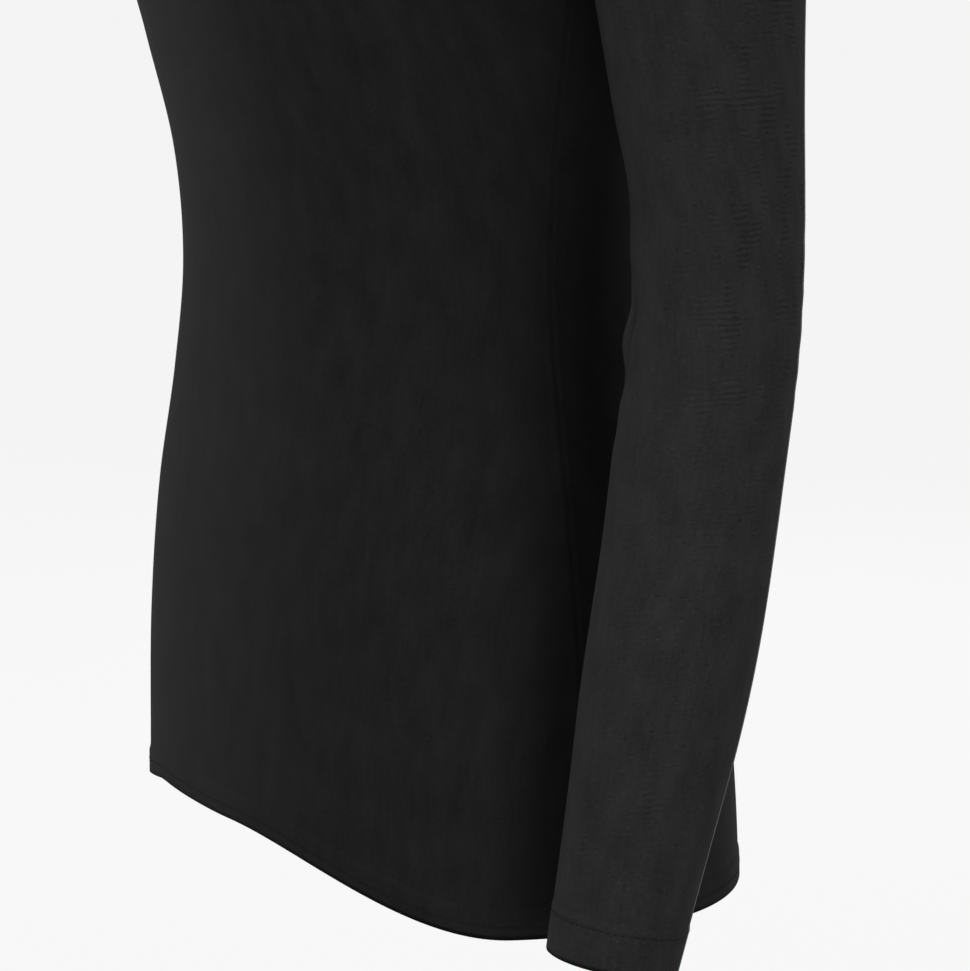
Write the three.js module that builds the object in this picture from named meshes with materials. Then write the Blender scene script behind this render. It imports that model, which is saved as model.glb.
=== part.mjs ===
// A long-sleeved base layer top of thin stretch jersey, as it stands when it is worn.
// Millimetres, +Z up. The front faces -Y and the wearer's left arm is at +X.
// The origin is midway between the shoulders, at the height where the wearer carries the top.
// Each cut piece is a closed wall: front, back, two sleeves and a neckband.
import * as THREE from "three";

// Cloth and sewing
const WALL = 1.2;
const NECKBAND_WALL = 1.8;
const SEAM_GAP = 0.36;
const LONGEST_MITRE = 3; // in wall thicknesses, where pieces meet at a sharp angle
const MIDDLE_TURNS = 60; // rounds of improving a mitre's direction
// A turned hem is two layers: it stands out by raised, over a step just above it
const BODY_HEM = { depth: 10, raised: 0.9, step: 0.9 };
const CUFF_HEM = { depth: 16, raised: 0.6, step: 0.9 };

// Horizontal sections of the body, from below the hem to the underarm
const BODY = [
  { z: -700, side: 166, front: 110, back: 125 },
  { z: -660, side: 166, front: 110, back: 125 },
  { z: -620, side: 165, front: 110, back: 123 },
  { z: -560, side: 160, front: 110, back: 117 },
  { z: -500, side: 150, front: 107, back: 107 },
  { z: -450, side: 139, front: 101, back: 96 },
  { z: -400, side: 130, front: 98, back: 88 },
  { z: -350, side: 132, front: 102, back: 86 },
  { z: -300, side: 141, front: 114, back: 92 },
  { z: -245, side: 152, front: 127, back: 101 },
  { z: -190, side: 158, front: 123, back: 106 },
];
const BODY_SQUARENESS = 2.25; // 2 is an ellipse, more is squarer
const SIDE_SEAM_ANGLE = 90; // from the centre front, in degrees
const UNDERARM_Z = -190;

// The hem is lower at the sides and back than at the centre front
const HEM = { front: -630, back: -662, curveStarts: 10, curveEnds: 75 };

// Neckline, shoulder seams and armholes
const NECK = { halfWidth: 82, top: 8, middle: 2, frontReach: 74, frontDrop: 90, backReach: 60, backDrop: 20 };
const NECK_ROUNDNESS = 1.2;
const SHOULDER_POINT = { x: 178, y: 6, z: -26 };
const ARMHOLE = {
  front: { bulge: -50, pinch: 14 },
  back: { bulge: 58, pinch: 6 },
};
const ARMHOLE_LOW = 0.75; // under 1 puts the widest part of the armhole lower
const NECK_SHARE = 0.42; // share of a panel's half width that ends at the neckline

// How steeply the panels reach their upper edges: length and direction of travel there
const UPPER_EDGE = {
  front: { shoulder: [0, 0.95, 0.3], neck: [0, 0.35, 0.94], reach: 80 },
  back: { shoulder: [0, -0.95, 0.3], neck: [0, -0.5, 0.86], reach: 80 },
};
const CORNER = { reach: 0.2, samples: 4, fade: 5 }; // how the corner at the neck fades into the panel
// How closely a panel's bend to the armhole keeps to its edge: everywhere, and more at the underarm
const EDGE_PULL = { power: 2, extra: 5, fade: 3 };
const NECKBAND = { width: 16, lean: { front: 0.85, side: 1.05, back: 0.55 } };

// The sleeve's middle line below the underarm, by distance along it
const ARM = [
  { along: 0, x: 208, y: 26, z: -215 },
  { along: 90, x: 217, y: 28, z: -305 },
  { along: 190, x: 225, y: 28, z: -405 },
  { along: 250, x: 226, y: 20, z: -463 },
  { along: 345, x: 224, y: 5, z: -556 },
  { along: 447, x: 219, y: -13.5, z: -656 },
];
const SLEEVE_LENGTH = 447;
const NEARBY = 3; // how far apart two points are when they give the arm's direction
// Across is from side to side and deep is from front to back
const SLEEVE = [
  { along: 0, across: 88, deep: 96 },
  { along: 90, across: 78, deep: 82 },
  { along: 180, across: 67, deep: 70 },
  { along: 260, across: 67, deep: 68 },
  { along: 345, across: 63, deep: 67 },
  { along: 400, across: 57, deep: 61 },
  { along: 447, across: 53, deep: 54.5 },
];
// How far the sleeve head leans down from level, at the underarm and at the shoulder, in degrees
const SLEEVE_HEAD = { underarm: 50, shoulder: 24, easing: 1.3, fullness: 0.9 };

// Soft folds inside the elbow: where each lies, its length and width, and its depth (a ridge is less than 0)
const SLEEVE_FOLDS = [
  { along: 178, angle: 62, length: 58, width: 15, depth: 1.5 },
  { along: 193, angle: 68, length: 46, width: 13, depth: -0.8 },
  { along: 209, angle: 56, length: 52, width: 15, depth: 1.3 },
];

// How finely each piece is divided
const NECK_COLUMNS = 6;
const SHOULDER_COLUMNS = 7;
const BODY_ROWS = 17;
const YOKE_ROWS = 10;
const HEAD_ROWS = 8;
const BAND_ROWS = 2;
// Rows of the sleeve below the underarm, closer together at the elbow
const ARM_STRETCHES = [
  { from: 0, to: 160, rows: 8 },
  { from: 160, to: 230, rows: 12 },
  { from: 230, to: SLEEVE_LENGTH - CUFF_HEM.depth - CUFF_HEM.step, rows: 10 },
];

const rad = THREE.MathUtils.degToRad;
const lerp = THREE.MathUtils.lerp;
const smooth = (x) => THREE.MathUtils.smoothstep(x, 0, 1);
const vec = (x, y, z) => new THREE.Vector3(x, y, z);

// A smooth curve through one column of a table whose rows rise in the key column
function follow(table, key, column, at) {
  const last = table.length - 1;
  if (at <= table[0][key]) return table[0][column];
  if (at >= table[last][key]) return table[last][column];
  let i = 0;
  while (table[i + 1][key] <= at) i += 1;
  const rise = (a, b) => (table[b][column] - table[a][column]) / (table[b][key] - table[a][key]);
  const slope = (k) => {
    if (k === 0) return rise(0, 1);
    if (k === last) return rise(last - 1, last);
    const before = table[k][key] - table[k - 1][key];
    const after = table[k + 1][key] - table[k][key];
    return (rise(k - 1, k) * after + rise(k, k + 1) * before) / (before + after);
  };
  const span = table[i + 1][key] - table[i][key];
  const s = (at - table[i][key]) / span;
  return hermite(table[i][column], span * slope(i), table[i + 1][column], span * slope(i + 1), s);
}

function hermite(from, leave, to, arrive, s) {
  const s2 = s * s;
  const s3 = s2 * s;
  return (
    (2 * s3 - 3 * s2 + 1) * from + (s3 - 2 * s2 + s) * leave + (3 * s2 - 2 * s3) * to + (s3 - s2) * arrive
  );
}

function hermitePoint(from, leave, to, arrive, s) {
  const along = (axis) => hermite(from[axis], leave[axis], to[axis], arrive[axis], s);
  return vec(along("x"), along("y"), along("z"));
}

// The body below the underarm: the angle is 0 at the centre front and 180 at the centre back
function bodyPoint(angle, z) {
  const power = 2 / BODY_SQUARENESS;
  const s = Math.sin(rad(angle));
  const c = Math.cos(rad(angle));
  const reach = follow(BODY, "z", c > 0 ? "front" : "back", z);
  const x = follow(BODY, "z", "side", z) * Math.sign(s) * Math.abs(s) ** power;
  return vec(x, -reach * Math.sign(c) * Math.abs(c) ** power, z);
}

function hemHeight(angle) {
  const share = (angle - HEM.curveStarts) / (HEM.curveEnds - HEM.curveStarts);
  return lerp(HEM.front, HEM.back, smooth(share));
}

// The armhole's edge on the wearer's left, from the underarm (0) to the shoulder point (1)
function armholePoint(half, share) {
  const { bulge, pinch } = ARMHOLE[half];
  const underarm = bodyPoint(SIDE_SEAM_ANGLE, UNDERARM_Z);
  const swing = Math.sin(Math.PI * share ** ARMHOLE_LOW);
  return vec(
    lerp(underarm.x, SHOULDER_POINT.x, smooth(share)) - pinch * swing,
    lerp(underarm.y, SHOULDER_POINT.y, share) + bulge * swing,
    lerp(UNDERARM_Z, SHOULDER_POINT.z, Math.sin(rad(90 * share))),
  );
}

// The neckline from the centre (0) to where it meets the shoulder seam (1)
function necklinePoint(half, share) {
  const reach = half === "front" ? -NECK.frontReach : NECK.backReach;
  const drop = half === "front" ? NECK.frontDrop : NECK.backDrop;
  const c = Math.cos(rad(90 * share));
  return vec(
    NECK.halfWidth * Math.sin(rad(90 * share)),
    NECK.middle + reach * c,
    NECK.top - drop * Math.max(0, c) ** NECK_ROUNDNESS,
  );
}

function shoulderSeamPoint(share) {
  const neck = necklinePoint("front", 1);
  return neck.lerp(vec(SHOULDER_POINT.x, SHOULDER_POINT.y, SHOULDER_POINT.z), share);
}

// A panel's upper edge, from the centre (0) to the shoulder point (1)
function upperEdge(half, across) {
  if (across <= NECK_SHARE) return necklinePoint(half, across / NECK_SHARE);
  return shoulderSeamPoint((across - NECK_SHARE) / (1 - NECK_SHARE));
}

// The same edge with its corner at the neck rounded off, which is how the cloth below it lies
function softUpperEdge(half, across) {
  const sum = vec(0, 0, 0);
  for (let i = -CORNER.samples; i <= CORNER.samples; i += 1) {
    sum.add(upperEdge(half, across + (i * CORNER.reach) / CORNER.samples));
  }
  return sum.divideScalar(2 * CORNER.samples + 1);
}

const panelAngle = (half, across) =>
  half === "front" ? across * SIDE_SEAM_ANGLE : 180 - across * (180 - SIDE_SEAM_ANGLE);

// The yoke: the part of a panel above the underarm, up (0) to its upper edge (1)
function yokeColumn(half, across, up) {
  const angle = panelAngle(half, across);
  const base = bodyPoint(angle, UNDERARM_Z);
  const edgePoint = upperEdge(half, across);
  const top = softUpperEdge(half, across);
  const below = bodyPoint(angle, UNDERARM_Z - 1);
  const height = base.distanceTo(top);
  const leave = base.clone().sub(below).multiplyScalar(height);
  const edge = UPPER_EDGE[half];
  const toShoulder = Math.min(1, across / NECK_SHARE);
  const arrive = vec(...edge.neck).lerp(vec(...edge.shoulder), smooth(toShoulder)).setLength(edge.reach);
  const corner = edgePoint.sub(top).multiplyScalar(up ** CORNER.fade);
  return hermitePoint(base, leave, top, arrive, up).add(corner);
}

function yokePoint(half, across, up) {
  const share = across ** (EDGE_PULL.power + EDGE_PULL.extra * (1 - up) ** EDGE_PULL.fade);
  const pull = armholePoint(half, up).sub(yokeColumn(half, 1, up)).multiplyScalar(share);
  return yokeColumn(half, across, up).add(pull);
}

// A point of a panel on the wearer's left: down the body (rise from 0 to 1), then up the yoke (1 to 2)
function panelPoint(half, across, rise) {
  if (rise > 1) return yokePoint(half, across, rise - 1);
  const angle = panelAngle(half, across);
  return bodyPoint(angle, lerp(hemHeight(angle), UNDERARM_Z, rise));
}

function armMiddle(along) {
  return vec(
    follow(ARM, "along", "x", along),
    follow(ARM, "along", "y", along),
    follow(ARM, "along", "z", along),
  );
}

const armDirection = (along) =>
  armMiddle(Math.min(along + NEARBY, SLEEVE_LENGTH))
    .sub(armMiddle(Math.max(along - NEARBY, 0)))
    .normalize();

// How far the sleeve's folds move a point of it towards the arm
function foldDepth(along, angle) {
  let depth = 0;
  for (const fold of SLEEVE_FOLDS) {
    const turn = ((angle - fold.angle + 540) % 360) - 180;
    const round = rad(turn) * follow(SLEEVE, "along", "deep", along) / 2;
    const off = (along - fold.along) / (fold.width / 2);
    const far = round / (fold.length / 2);
    depth += fold.depth * Math.exp(-off * off - far * far);
  }
  return depth;
}

// A point of the sleeve below the underarm: the angle is 0 at the inner side, 90 in front and 180 outside
function armPoint(along, angle) {
  const direction = armDirection(along);
  const outward = vec(1, 0, 0).addScaledVector(direction, -direction.x).normalize();
  const forward = direction.clone().cross(outward).normalize();
  if (forward.y > 0) forward.negate();
  const dent = foldDepth(along, angle);
  const across = follow(SLEEVE, "along", "across", along) / 2 - dent;
  const deep = follow(SLEEVE, "along", "deep", along) / 2 - dent;
  return armMiddle(along)
    .addScaledVector(outward, -across * Math.cos(rad(angle)))
    .addScaledVector(forward, deep * Math.sin(rad(angle)));
}

// The sleeve head, from the armhole (0) to the ring under the arm (1)
function headPoint(angle, down) {
  const half = angle <= 180 ? "front" : "back";
  const share = angle <= 180 ? angle / 180 : (360 - angle) / 180;
  const from = armholePoint(half, share);
  const to = armPoint(0, angle);
  const lean = rad(lerp(SLEEVE_HEAD.shoulder, SLEEVE_HEAD.underarm, (1 - share) ** SLEEVE_HEAD.easing));
  const reach = from.distanceTo(to);
  const leave = vec(Math.cos(lean), 0, -Math.sin(lean)).multiplyScalar(reach * SLEEVE_HEAD.fullness);
  const arrive = armPoint(NEARBY, angle).sub(to).setLength(reach);
  return hermitePoint(from, leave, to, arrive, down);
}

function neckbandPoint(turn, up) {
  const back = turn > 90 && turn < 270;
  const half = back ? "back" : "front";
  const folded = Math.abs(((turn + 180) % 360) - 180);
  const share = (back ? 180 - folded : folded) / 90;
  const seam = necklinePoint(half, share);
  if (turn > 180) seam.x = -seam.x;
  const lean = lerp(back ? NECKBAND.lean.back : NECKBAND.lean.front, NECKBAND.lean.side, smooth(share));
  const inward = vec(-seam.x, NECK.middle - seam.y, 0).normalize();
  const rise = inward.multiplyScalar(lean).add(vec(0, 0, 1)).setLength(NECKBAND.width);
  return seam.addScaledVector(rise, up);
}

// A grid of points: rows of columns, and round if the last column joins the first
function grid(rows, columns, round, pointAt) {
  const points = rows.map((row) => columns.map((column) => pointAt(row, column)));
  return { points, round };
}

function faceCorners({ points, round }) {
  const faces = [];
  const width = points[0].length;
  for (let r = 0; r + 1 < points.length; r += 1) {
    for (let c = 0; c < (round ? width : width - 1); c += 1) {
      const d = (c + 1) % width;
      faces.push([[r, c], [r, d], [r + 1, d], [r + 1, c]]);
    }
  }
  return faces;
}

const placeKey = (p) => [p.x, p.y, p.z].map((v) => Math.round(v * 50)).join(",");

// The outward direction at every point of one grid
function gridNormals(one) {
  const normals = one.points.map((row) => row.map(() => vec(0, 0, 0)));
  for (const corners of faceCorners(one)) {
    const [a, b, c, d] = corners.map(([row, column]) => one.points[row][column]);
    const face = c.clone().sub(a).cross(d.clone().sub(b));
    for (const [row, column] of corners) normals[row][column].add(face);
  }
  for (const row of normals) for (const normal of row) normal.normalize();
  return normals;
}

// The direction that leans equally far from the directions that lie farthest apart
function middleDirection(directions) {
  const middle = vec(0, 0, 0);
  for (const direction of directions) middle.addScaledVector(direction, 1 / directions.length);
  for (let turn = 2; turn < MIDDLE_TURNS; turn += 1) {
    let far = directions[0];
    for (const d of directions) if (d.distanceTo(middle) > far.distanceTo(middle)) far = d;
    middle.lerp(far, 1 / turn);
  }
  return middle.normalize();
}

// Where pieces meet, their walls share one mitre direction
function mitreDirections(grids) {
  const meeting = new Map();
  for (const one of grids) {
    gridNormals(one).forEach((row, r) => {
      row.forEach((normal, c) => {
        const key = placeKey(one.points[r][c]);
        meeting.set(key, [...(meeting.get(key) ?? []), normal]);
      });
    });
  }
  const mitres = new Map();
  for (const [key, normals] of meeting) mitres.set(key, middleDirection(normals));
  return (p) => mitres.get(placeKey(p));
}

// How far a seam edge moves back from the mitre: half the gap, on the side of the point next to it
function seamShift(edge, next, mitre) {
  const inside = next.clone().sub(edge);
  return inside.addScaledVector(mitre, -inside.dot(mitre)).setLength(SEAM_GAP / 2);
}

// A closed wall: the grid outside, the same grid moved in by the cloth's thickness, and its edges
function wallGeometry(one, mitreAt, wall, raised, seams) {
  const { points, round } = one;
  const height = points.length;
  const width = points[0].length;
  const normals = gridNormals(one);
  const outer = points.map((row, r) =>
    row.map((p, c) => {
      const shift = (next) => seamShift(p, next, mitreAt(p));
      const moved = p.clone().addScaledVector(mitreAt(p), raised(r));
      if (seams.top && r === height - 1) moved.add(shift(points[r - 1][c]));
      if (seams.bottom && r === 0) moved.add(shift(points[1][c]));
      if (seams.sides && c === 0) moved.add(shift(points[r][1]));
      if (seams.sides && c === width - 1) moved.add(shift(points[r][width - 2]));
      return moved;
    }),
  );
  const inner = outer.map((row, r) =>
    row.map((p, c) => {
      const mitre = mitreAt(points[r][c]);
      const slant = Math.max(mitre.dot(normals[r][c]), 1 / LONGEST_MITRE);
      return p.clone().addScaledVector(mitre, -wall / slant - raised(r));
    }),
  );
  const positions = [];
  for (const p of [...outer.flat(), ...inner.flat()]) positions.push(p.x, p.y, p.z);
  const index = [];
  const layer = height * width;
  const at = (r, c) => r * width + (c % width);
  const quad = (p, q, r, s) => index.push(p, q, r, p, r, s);
  // An edge is split from its lower outside corner, so that two pieces split alike where they meet
  const edge = (p, q) => {
    if (positions[3 * p + 2] <= positions[3 * q + 2]) quad(p, q, q + layer, p + layer);
    else quad(q, q + layer, p + layer, p);
  };
  for (const corners of faceCorners(one)) {
    const [p, q, r, s] = corners.map(([row, column]) => at(row, column));
    quad(p, q, r, s);
    quad(p + layer, s + layer, r + layer, q + layer);
  }
  for (let c = 0; c < (round ? width : width - 1); c += 1) {
    edge(at(0, c + 1), at(0, c));
    edge(at(height - 1, c), at(height - 1, c + 1));
  }
  for (let r = 0; !round && r + 1 < height; r += 1) {
    edge(at(r, 0), at(r + 1, 0));
    edge(at(r + 1, width - 1), at(r, width - 1));
  }
  const geometry = new THREE.BufferGeometry();
  geometry.setAttribute("position", new THREE.Float32BufferAttribute(positions, 3));
  geometry.setIndex(index);
  geometry.computeVertexNormals();
  return geometry;
}

const steps = (from, to, count) =>
  Array.from({ length: count + 1 }, (_, i) => lerp(from, to, i / count));

// A panel's columns from its right edge to its left one, as seen by the wearer
function panelColumns() {
  const half = [
    ...steps(0, NECK_SHARE, NECK_COLUMNS),
    ...steps(NECK_SHARE, 1, SHOULDER_COLUMNS).slice(1),
  ];
  return [...half.slice(1).map((v) => -v).reverse(), ...half];
}

// A panel's rows: two at the turned hem, then even ones to the underarm and on to the shoulder
function panelRows() {
  const length = UNDERARM_Z - HEM.front;
  const fold = BODY_HEM.depth / length;
  const above = (BODY_HEM.depth + BODY_HEM.step) / length;
  return [0, fold, ...steps(above, 1, BODY_ROWS), ...steps(1, 2, YOKE_ROWS).slice(1)];
}

function panelGrid(half) {
  // The back is laid out from the wearer's left to the right, so that its faces point out too
  const columns = half === "front" ? panelColumns() : panelColumns().reverse();
  return grid(panelRows(), columns, false, (rise, across) => {
    const p = panelPoint(half, Math.abs(across), rise);
    if (across < 0) p.x = -p.x;
    return p;
  });
}

function sleeveGrid() {
  // Downwards and backwards round the arm, so that the faces point out
  const angles = steps(360, 0, 2 * YOKE_ROWS).slice(0, -1);
  const fold = SLEEVE_LENGTH - CUFF_HEM.depth;
  const lines = [
    ...steps(-1, 0, HEAD_ROWS),
    ...ARM_STRETCHES.flatMap(({ from, to, rows }) => steps(from, to, rows).slice(1)),
    fold,
    SLEEVE_LENGTH,
  ];
  return grid(lines, angles, true, (along, angle) =>
    along <= 0 ? headPoint(angle, along + 1) : armPoint(along, angle),
  );
}

function neckbandGrid() {
  const half = steps(0, 90, NECK_COLUMNS);
  const turns = [
    ...half,
    ...half.slice(1).map((v) => v + 90),
    ...half.slice(1).map((v) => v + 180),
    ...half.slice(1, -1).map((v) => v + 270),
  ];
  return grid(steps(0, 1, BAND_ROWS), turns, true, (up, turn) => neckbandPoint(turn, up));
}

// The same piece for the wearer's right side, with its faces turned so that they still point out
function mirrored(one) {
  const points = one.points.map((row) => row.map((p) => vec(-p.x, p.y, p.z)).reverse());
  return { points, round: one.round };
}

const front = panelGrid("front");
const back = panelGrid("back");
const sleeveLeft = sleeveGrid();
const sleeveRight = mirrored(sleeveLeft);
const neckband = neckbandGrid();
const mitreAt = mitreDirections([front, back, sleeveLeft, sleeveRight, neckband]);

const flat = () => 0;
const bodyHem = (row) => (row < 2 ? BODY_HEM.raised : 0);
const cuffHem = (row) => (row > sleeveLeft.points.length - 3 ? CUFF_HEM.raised : 0);

const jersey = new THREE.MeshStandardMaterial({ color: 0x1c1c1d, roughness: 0.92, metalness: 0 });
const rib = new THREE.MeshStandardMaterial({ color: 0x1a1a1b, roughness: 0.94, metalness: 0 });

function piece(name, one, material, { wall = WALL, raised = flat, seams }) {
  const mesh = new THREE.Mesh(wallGeometry(one, mitreAt, wall, raised, seams), material);
  mesh.name = name;
  return mesh;
}

const panel = { raised: bodyHem, seams: { top: true, sides: true } };
const sleeve = { raised: cuffHem, seams: { bottom: true } };

const top = new THREE.Group();
top.add(
  piece("front", front, jersey, panel),
  piece("back", back, jersey, panel),
  piece("sleeve_left", sleeveLeft, jersey, sleeve),
  piece("sleeve_right", sleeveRight, jersey, sleeve),
  piece("neckband", neckband, rib, { wall: NECKBAND_WALL, seams: { bottom: true } }),
);

export default top;
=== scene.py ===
"""A long-sleeved base layer top of thin stretch jersey: its cloth, seams, stitching and stage."""

import functools
import math
from collections import namedtuple

import bpy
import numpy as np
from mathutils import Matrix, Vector


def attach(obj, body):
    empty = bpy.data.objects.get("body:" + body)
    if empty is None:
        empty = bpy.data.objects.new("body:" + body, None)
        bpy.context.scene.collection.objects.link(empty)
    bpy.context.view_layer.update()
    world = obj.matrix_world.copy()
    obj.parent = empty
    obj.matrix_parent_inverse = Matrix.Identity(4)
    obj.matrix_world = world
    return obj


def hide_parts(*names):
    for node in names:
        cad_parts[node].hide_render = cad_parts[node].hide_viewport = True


bl_info = {
    "name": "Base layer top",
    "version": (1, 0, 0),
    "blender": (4, 5, 0),
    "location": "3D View > Sidebar > Top",
    "description": "Makes the cloth, seams and stage of a long-sleeved base layer top",
    "category": "Add Mesh",
}

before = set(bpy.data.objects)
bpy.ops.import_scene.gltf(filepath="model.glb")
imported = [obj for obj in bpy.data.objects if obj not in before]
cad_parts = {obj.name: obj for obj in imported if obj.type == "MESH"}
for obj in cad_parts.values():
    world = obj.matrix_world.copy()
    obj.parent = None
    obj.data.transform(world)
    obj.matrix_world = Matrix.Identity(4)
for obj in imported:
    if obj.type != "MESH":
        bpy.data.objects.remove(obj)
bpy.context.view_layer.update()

# Lengths in the tables and shape functions are millimetres, and meshes are metres
MM = 0.001


def table(columns, *rows):
    """Rows of values, each with the same named columns."""
    row_of = namedtuple("Row", columns)
    return [row_of(*row) for row in rows]


# Horizontal sections of the body, from below the hem to the underarm
BODY = table(
    "z side front back",
    (-700, 166, 110, 125),
    (-660, 166, 110, 125),
    (-620, 165, 110, 123),
    (-560, 160, 110, 117),
    (-500, 150, 107, 107),
    (-450, 139, 101, 96),
    (-400, 130, 98, 88),
    (-350, 132, 102, 86),
    (-300, 141, 114, 92),
    (-245, 152, 127, 101),
    (-190, 158, 123, 106),
)
BODY_SQUARENESS = 2.25
SIDE_SEAM_ANGLE = 90
UNDERARM_Z = -190
HEM_CURVE = {"front": -630, "back": -662, "starts": 10, "ends": 75}

# Neckline, shoulder seams and armholes
NECK = {"half_width": 82, "top": 8, "middle": 2, "roundness": 1.2}
NECK_REACH = {"front": -74, "back": 60}
NECK_DROP = {"front": 90, "back": 20}
SHOULDER_POINT = (178, 6, -26)
ARMHOLE_BULGE = {"front": -50, "back": 58}
ARMHOLE_PINCH = {"front": 14, "back": 6}
ARMHOLE_LOW = 0.75
NECK_SHARE = 0.42
EDGE_REACH = 80
NECK_ARRIVAL = {"front": (0, 0.35, 0.94), "back": (0, -0.5, 0.86)}
SHOULDER_ARRIVAL = {"front": (0, 0.95, 0.3), "back": (0, -0.95, 0.3)}
CORNER = {"reach": 0.2, "samples": 4, "fade": 5}
EDGE_PULL = {"power": 2, "extra": 5, "fade": 3}
BAND_WIDTH = 16
BAND_LEAN = {"front": 0.85, "side": 1.05, "back": 0.55}

# The sleeve's middle line below the underarm, and its widths, by distance along it
ARM = table(
    "along x y z",
    (0, 208, 26, -215),
    (90, 217, 28, -305),
    (190, 225, 28, -405),
    (250, 226, 20, -463),
    (345, 224, 5, -556),
    (449.5, 218.9, -14, -658.5),
)
SLEEVE = table(
    "along across deep",
    (0, 88, 96),
    (90, 78, 82),
    (180, 67, 70),
    (260, 67, 68),
    (345, 63, 67),
    (400, 57, 61),
    (449.5, 53, 54.5),
)
SLEEVE_LENGTH = 449.5
NEARBY = 3
SLEEVE_HEAD = {"underarm": 50, "shoulder": 24, "easing": 1.3, "fullness": 0.9}
SLEEVE_SEAM_ANGLE = 236
RIGHT_SLEEVE_SEED = 7
VARIATION = {"along": 7, "slant": 5, "length": 0.2, "depth": 0.25}

# Cloth, hems and seams
WALL = 1.2
BAND_WALL = 1.8
BODY_HEM = {"depth": 10, "raised": 0.6, "step": 3.0, "row": 4.8}
CUFF_HEM = {"depth": 18, "raised": 0.45, "step": 3.0, "row": 16.4}
GROOVE = {"depth": 0.13, "width": 0.6, "lip": 0.14, "lip_far": 1.3}
SEAM_RIDGE = {"height": 0.28, "far": 2.0, "spread": 1.5}
SEAM_ROW = 1.9
STITCH_LIFT = 0.1  # share of the thread's thickness
FLATLOCK = {"width": 1.9, "step": 0.55}

# How finely the cloth is divided: millimetres between lines, or how many lines there are
SPACING = 3.4
HEM_SPACING = 0.75
EDGE_LINES = (0.6, 1.2, 1.9, 2.7, 3.8, 5.2)
EDGE_SHARES = (0.965, 0.976, 0.985, 0.993, 1)
COUNT = {"neck": 30, "side": 40, "yoke": 54, "round": 80, "head": 62, "underarm": 60, "band": 8}
HEAD_CROWDING = 1.6
BAND_LOW_LINES = (0.22, 0.16, 0.1, 0.05, 0)
FOLD_STEPS = 5  # faces round the fold at a free edge
SHARP_ANGLE = 50

# Creases on the panels: distances from the centre and from the underarm line, up being more
PANEL_CREASE = "around along length width depth slant bow"
FRONT_CREASES = table(
    PANEL_CREASE,
    (118, 42, 74, 6.0, 0.9, 58, 4),
    (128, 22, 66, 5.5, 0.7, 44, 3),
    (-120, 46, 70, 6.0, 0.9, -56, -4),
    (-131, 18, 72, 6.5, 0.8, -42, 3),
    (-150, -168, 84, 7.0, 0.6, 7, 5),
    (-142, -196, 64, 6.0, 0.5, -4, -3),
    (60, 66, 46, 6.0, 0.4, 68, 3),
    (-64, 70, 52, 6.0, 0.4, -64, -3),
)
BACK_CREASES = table(
    PANEL_CREASE,
    (30, -168, 150, 9.0, 1.5, 3, 7),
    (-38, -194, 128, 8.0, 1.3, -4, 6),
    (58, -216, 96, 8.5, 1.0, 6, -4),
    (-96, -160, 82, 7.0, 0.9, -9, 5),
    (102, -150, 70, 7.0, 0.8, 11, 4),
    (-10, -238, 110, 8.0, 0.7, -2, 5),
    (122, 36, 78, 7.0, 1.1, 52, -5),
    (134, 12, 70, 6.5, 0.9, 38, 3),
    (-124, 40, 74, 7.0, 1.1, -54, 5),
    (-132, 10, 64, 6.0, 0.8, -40, -3),
)

# Creases on a sleeve: the angle is 0 inside the arm, 90 in front and 180 outside
ARM_CREASES = table(
    "along angle length width depth slant bow",
    (104, 66, 150, 46, 2.0, 0, 0),
    (128, 60, 120, 24, 2.6, 0, 0),
    (66, 246, 150, 60, 1.7, 0, 0),
    (228, 58, 150, 48, -1.8, 0, 0),
    (312, 66, 170, 52, -0.9, 0, 0),
    (312, 246, 170, 56, -1.2, 0, 0),
    (160, 58, 64, 13, 0.5, 6, 4),
    (188, 62, 52, 9.5, -2.1, 4, 3),
    (182, 84.5, 38, 1.9, 1.6, 80, 3),
    (224, 74, 38, 6.0, 0.35, 8, 2),
    (160, 80, 36, 5.5, 0.5, 10, 2),
    (-34, 36, 66, 8.0, 1.5, 62, 6),
    (-14, 22, 58, 7.0, 1.2, 40, 4),
    (12, 14, 52, 7.0, 1.0, 22, 3),
    (40, 30, 44, 6.5, 0.6, 12, 3),
    (-36, 322, 66, 8.0, 1.4, -60, -6),
    (-12, 336, 60, 7.5, 1.2, -40, -4),
    (16, 346, 48, 7.0, 0.9, -20, 3),
    (150, 226, 34, 5.0, 0.20, -6, 2),
    (168, 214, 42, 5.0, 0.30, 5, -2),
    (181, 232, 30, 4.5, 0.18, 9, 2),
    (196, 216, 46, 5.5, 0.32, -7, 2),
    (212, 230, 32, 4.5, 0.18, 4, -2),
    (372, 128, 26, 4.5, 0.30, 14, 2),
    (384, 138, 30, 4.5, 0.38, 8, -2),
    (395, 120, 24, 4.0, 0.28, -6, 2),
    (409, 150, 28, 4.0, 0.30, 5, 2),
    (366, 20, 34, 5.0, 0.45, -8, 2),
    (388, 352, 30, 5.0, 0.40, 7, -2),
)
CREASE_FADE = 7  # creases die out this close to a seam or hem
BROAD = 12  # a crease wider than this pushes up no shoulders beside it
CREASE_SHOULDER = {"height": 0.4, "far": 1.7, "spread": 0.8}  # as shares of the crease's own

# Fine puckers on the outside of the sleeve: where they lie, and how strong they are
PUCKERS = table(
    "along angle long wide strength",
    (70, 205, 60, 30, 0.75),
    (118, 178, 44, 26, 0.8),
    (128, 212, 50, 24, 1.0),
    (175, 200, 46, 34, 0.9),
    (235, 206, 60, 26, 0.55),
    (385, 150, 26, 24, 0.4),
)


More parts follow.
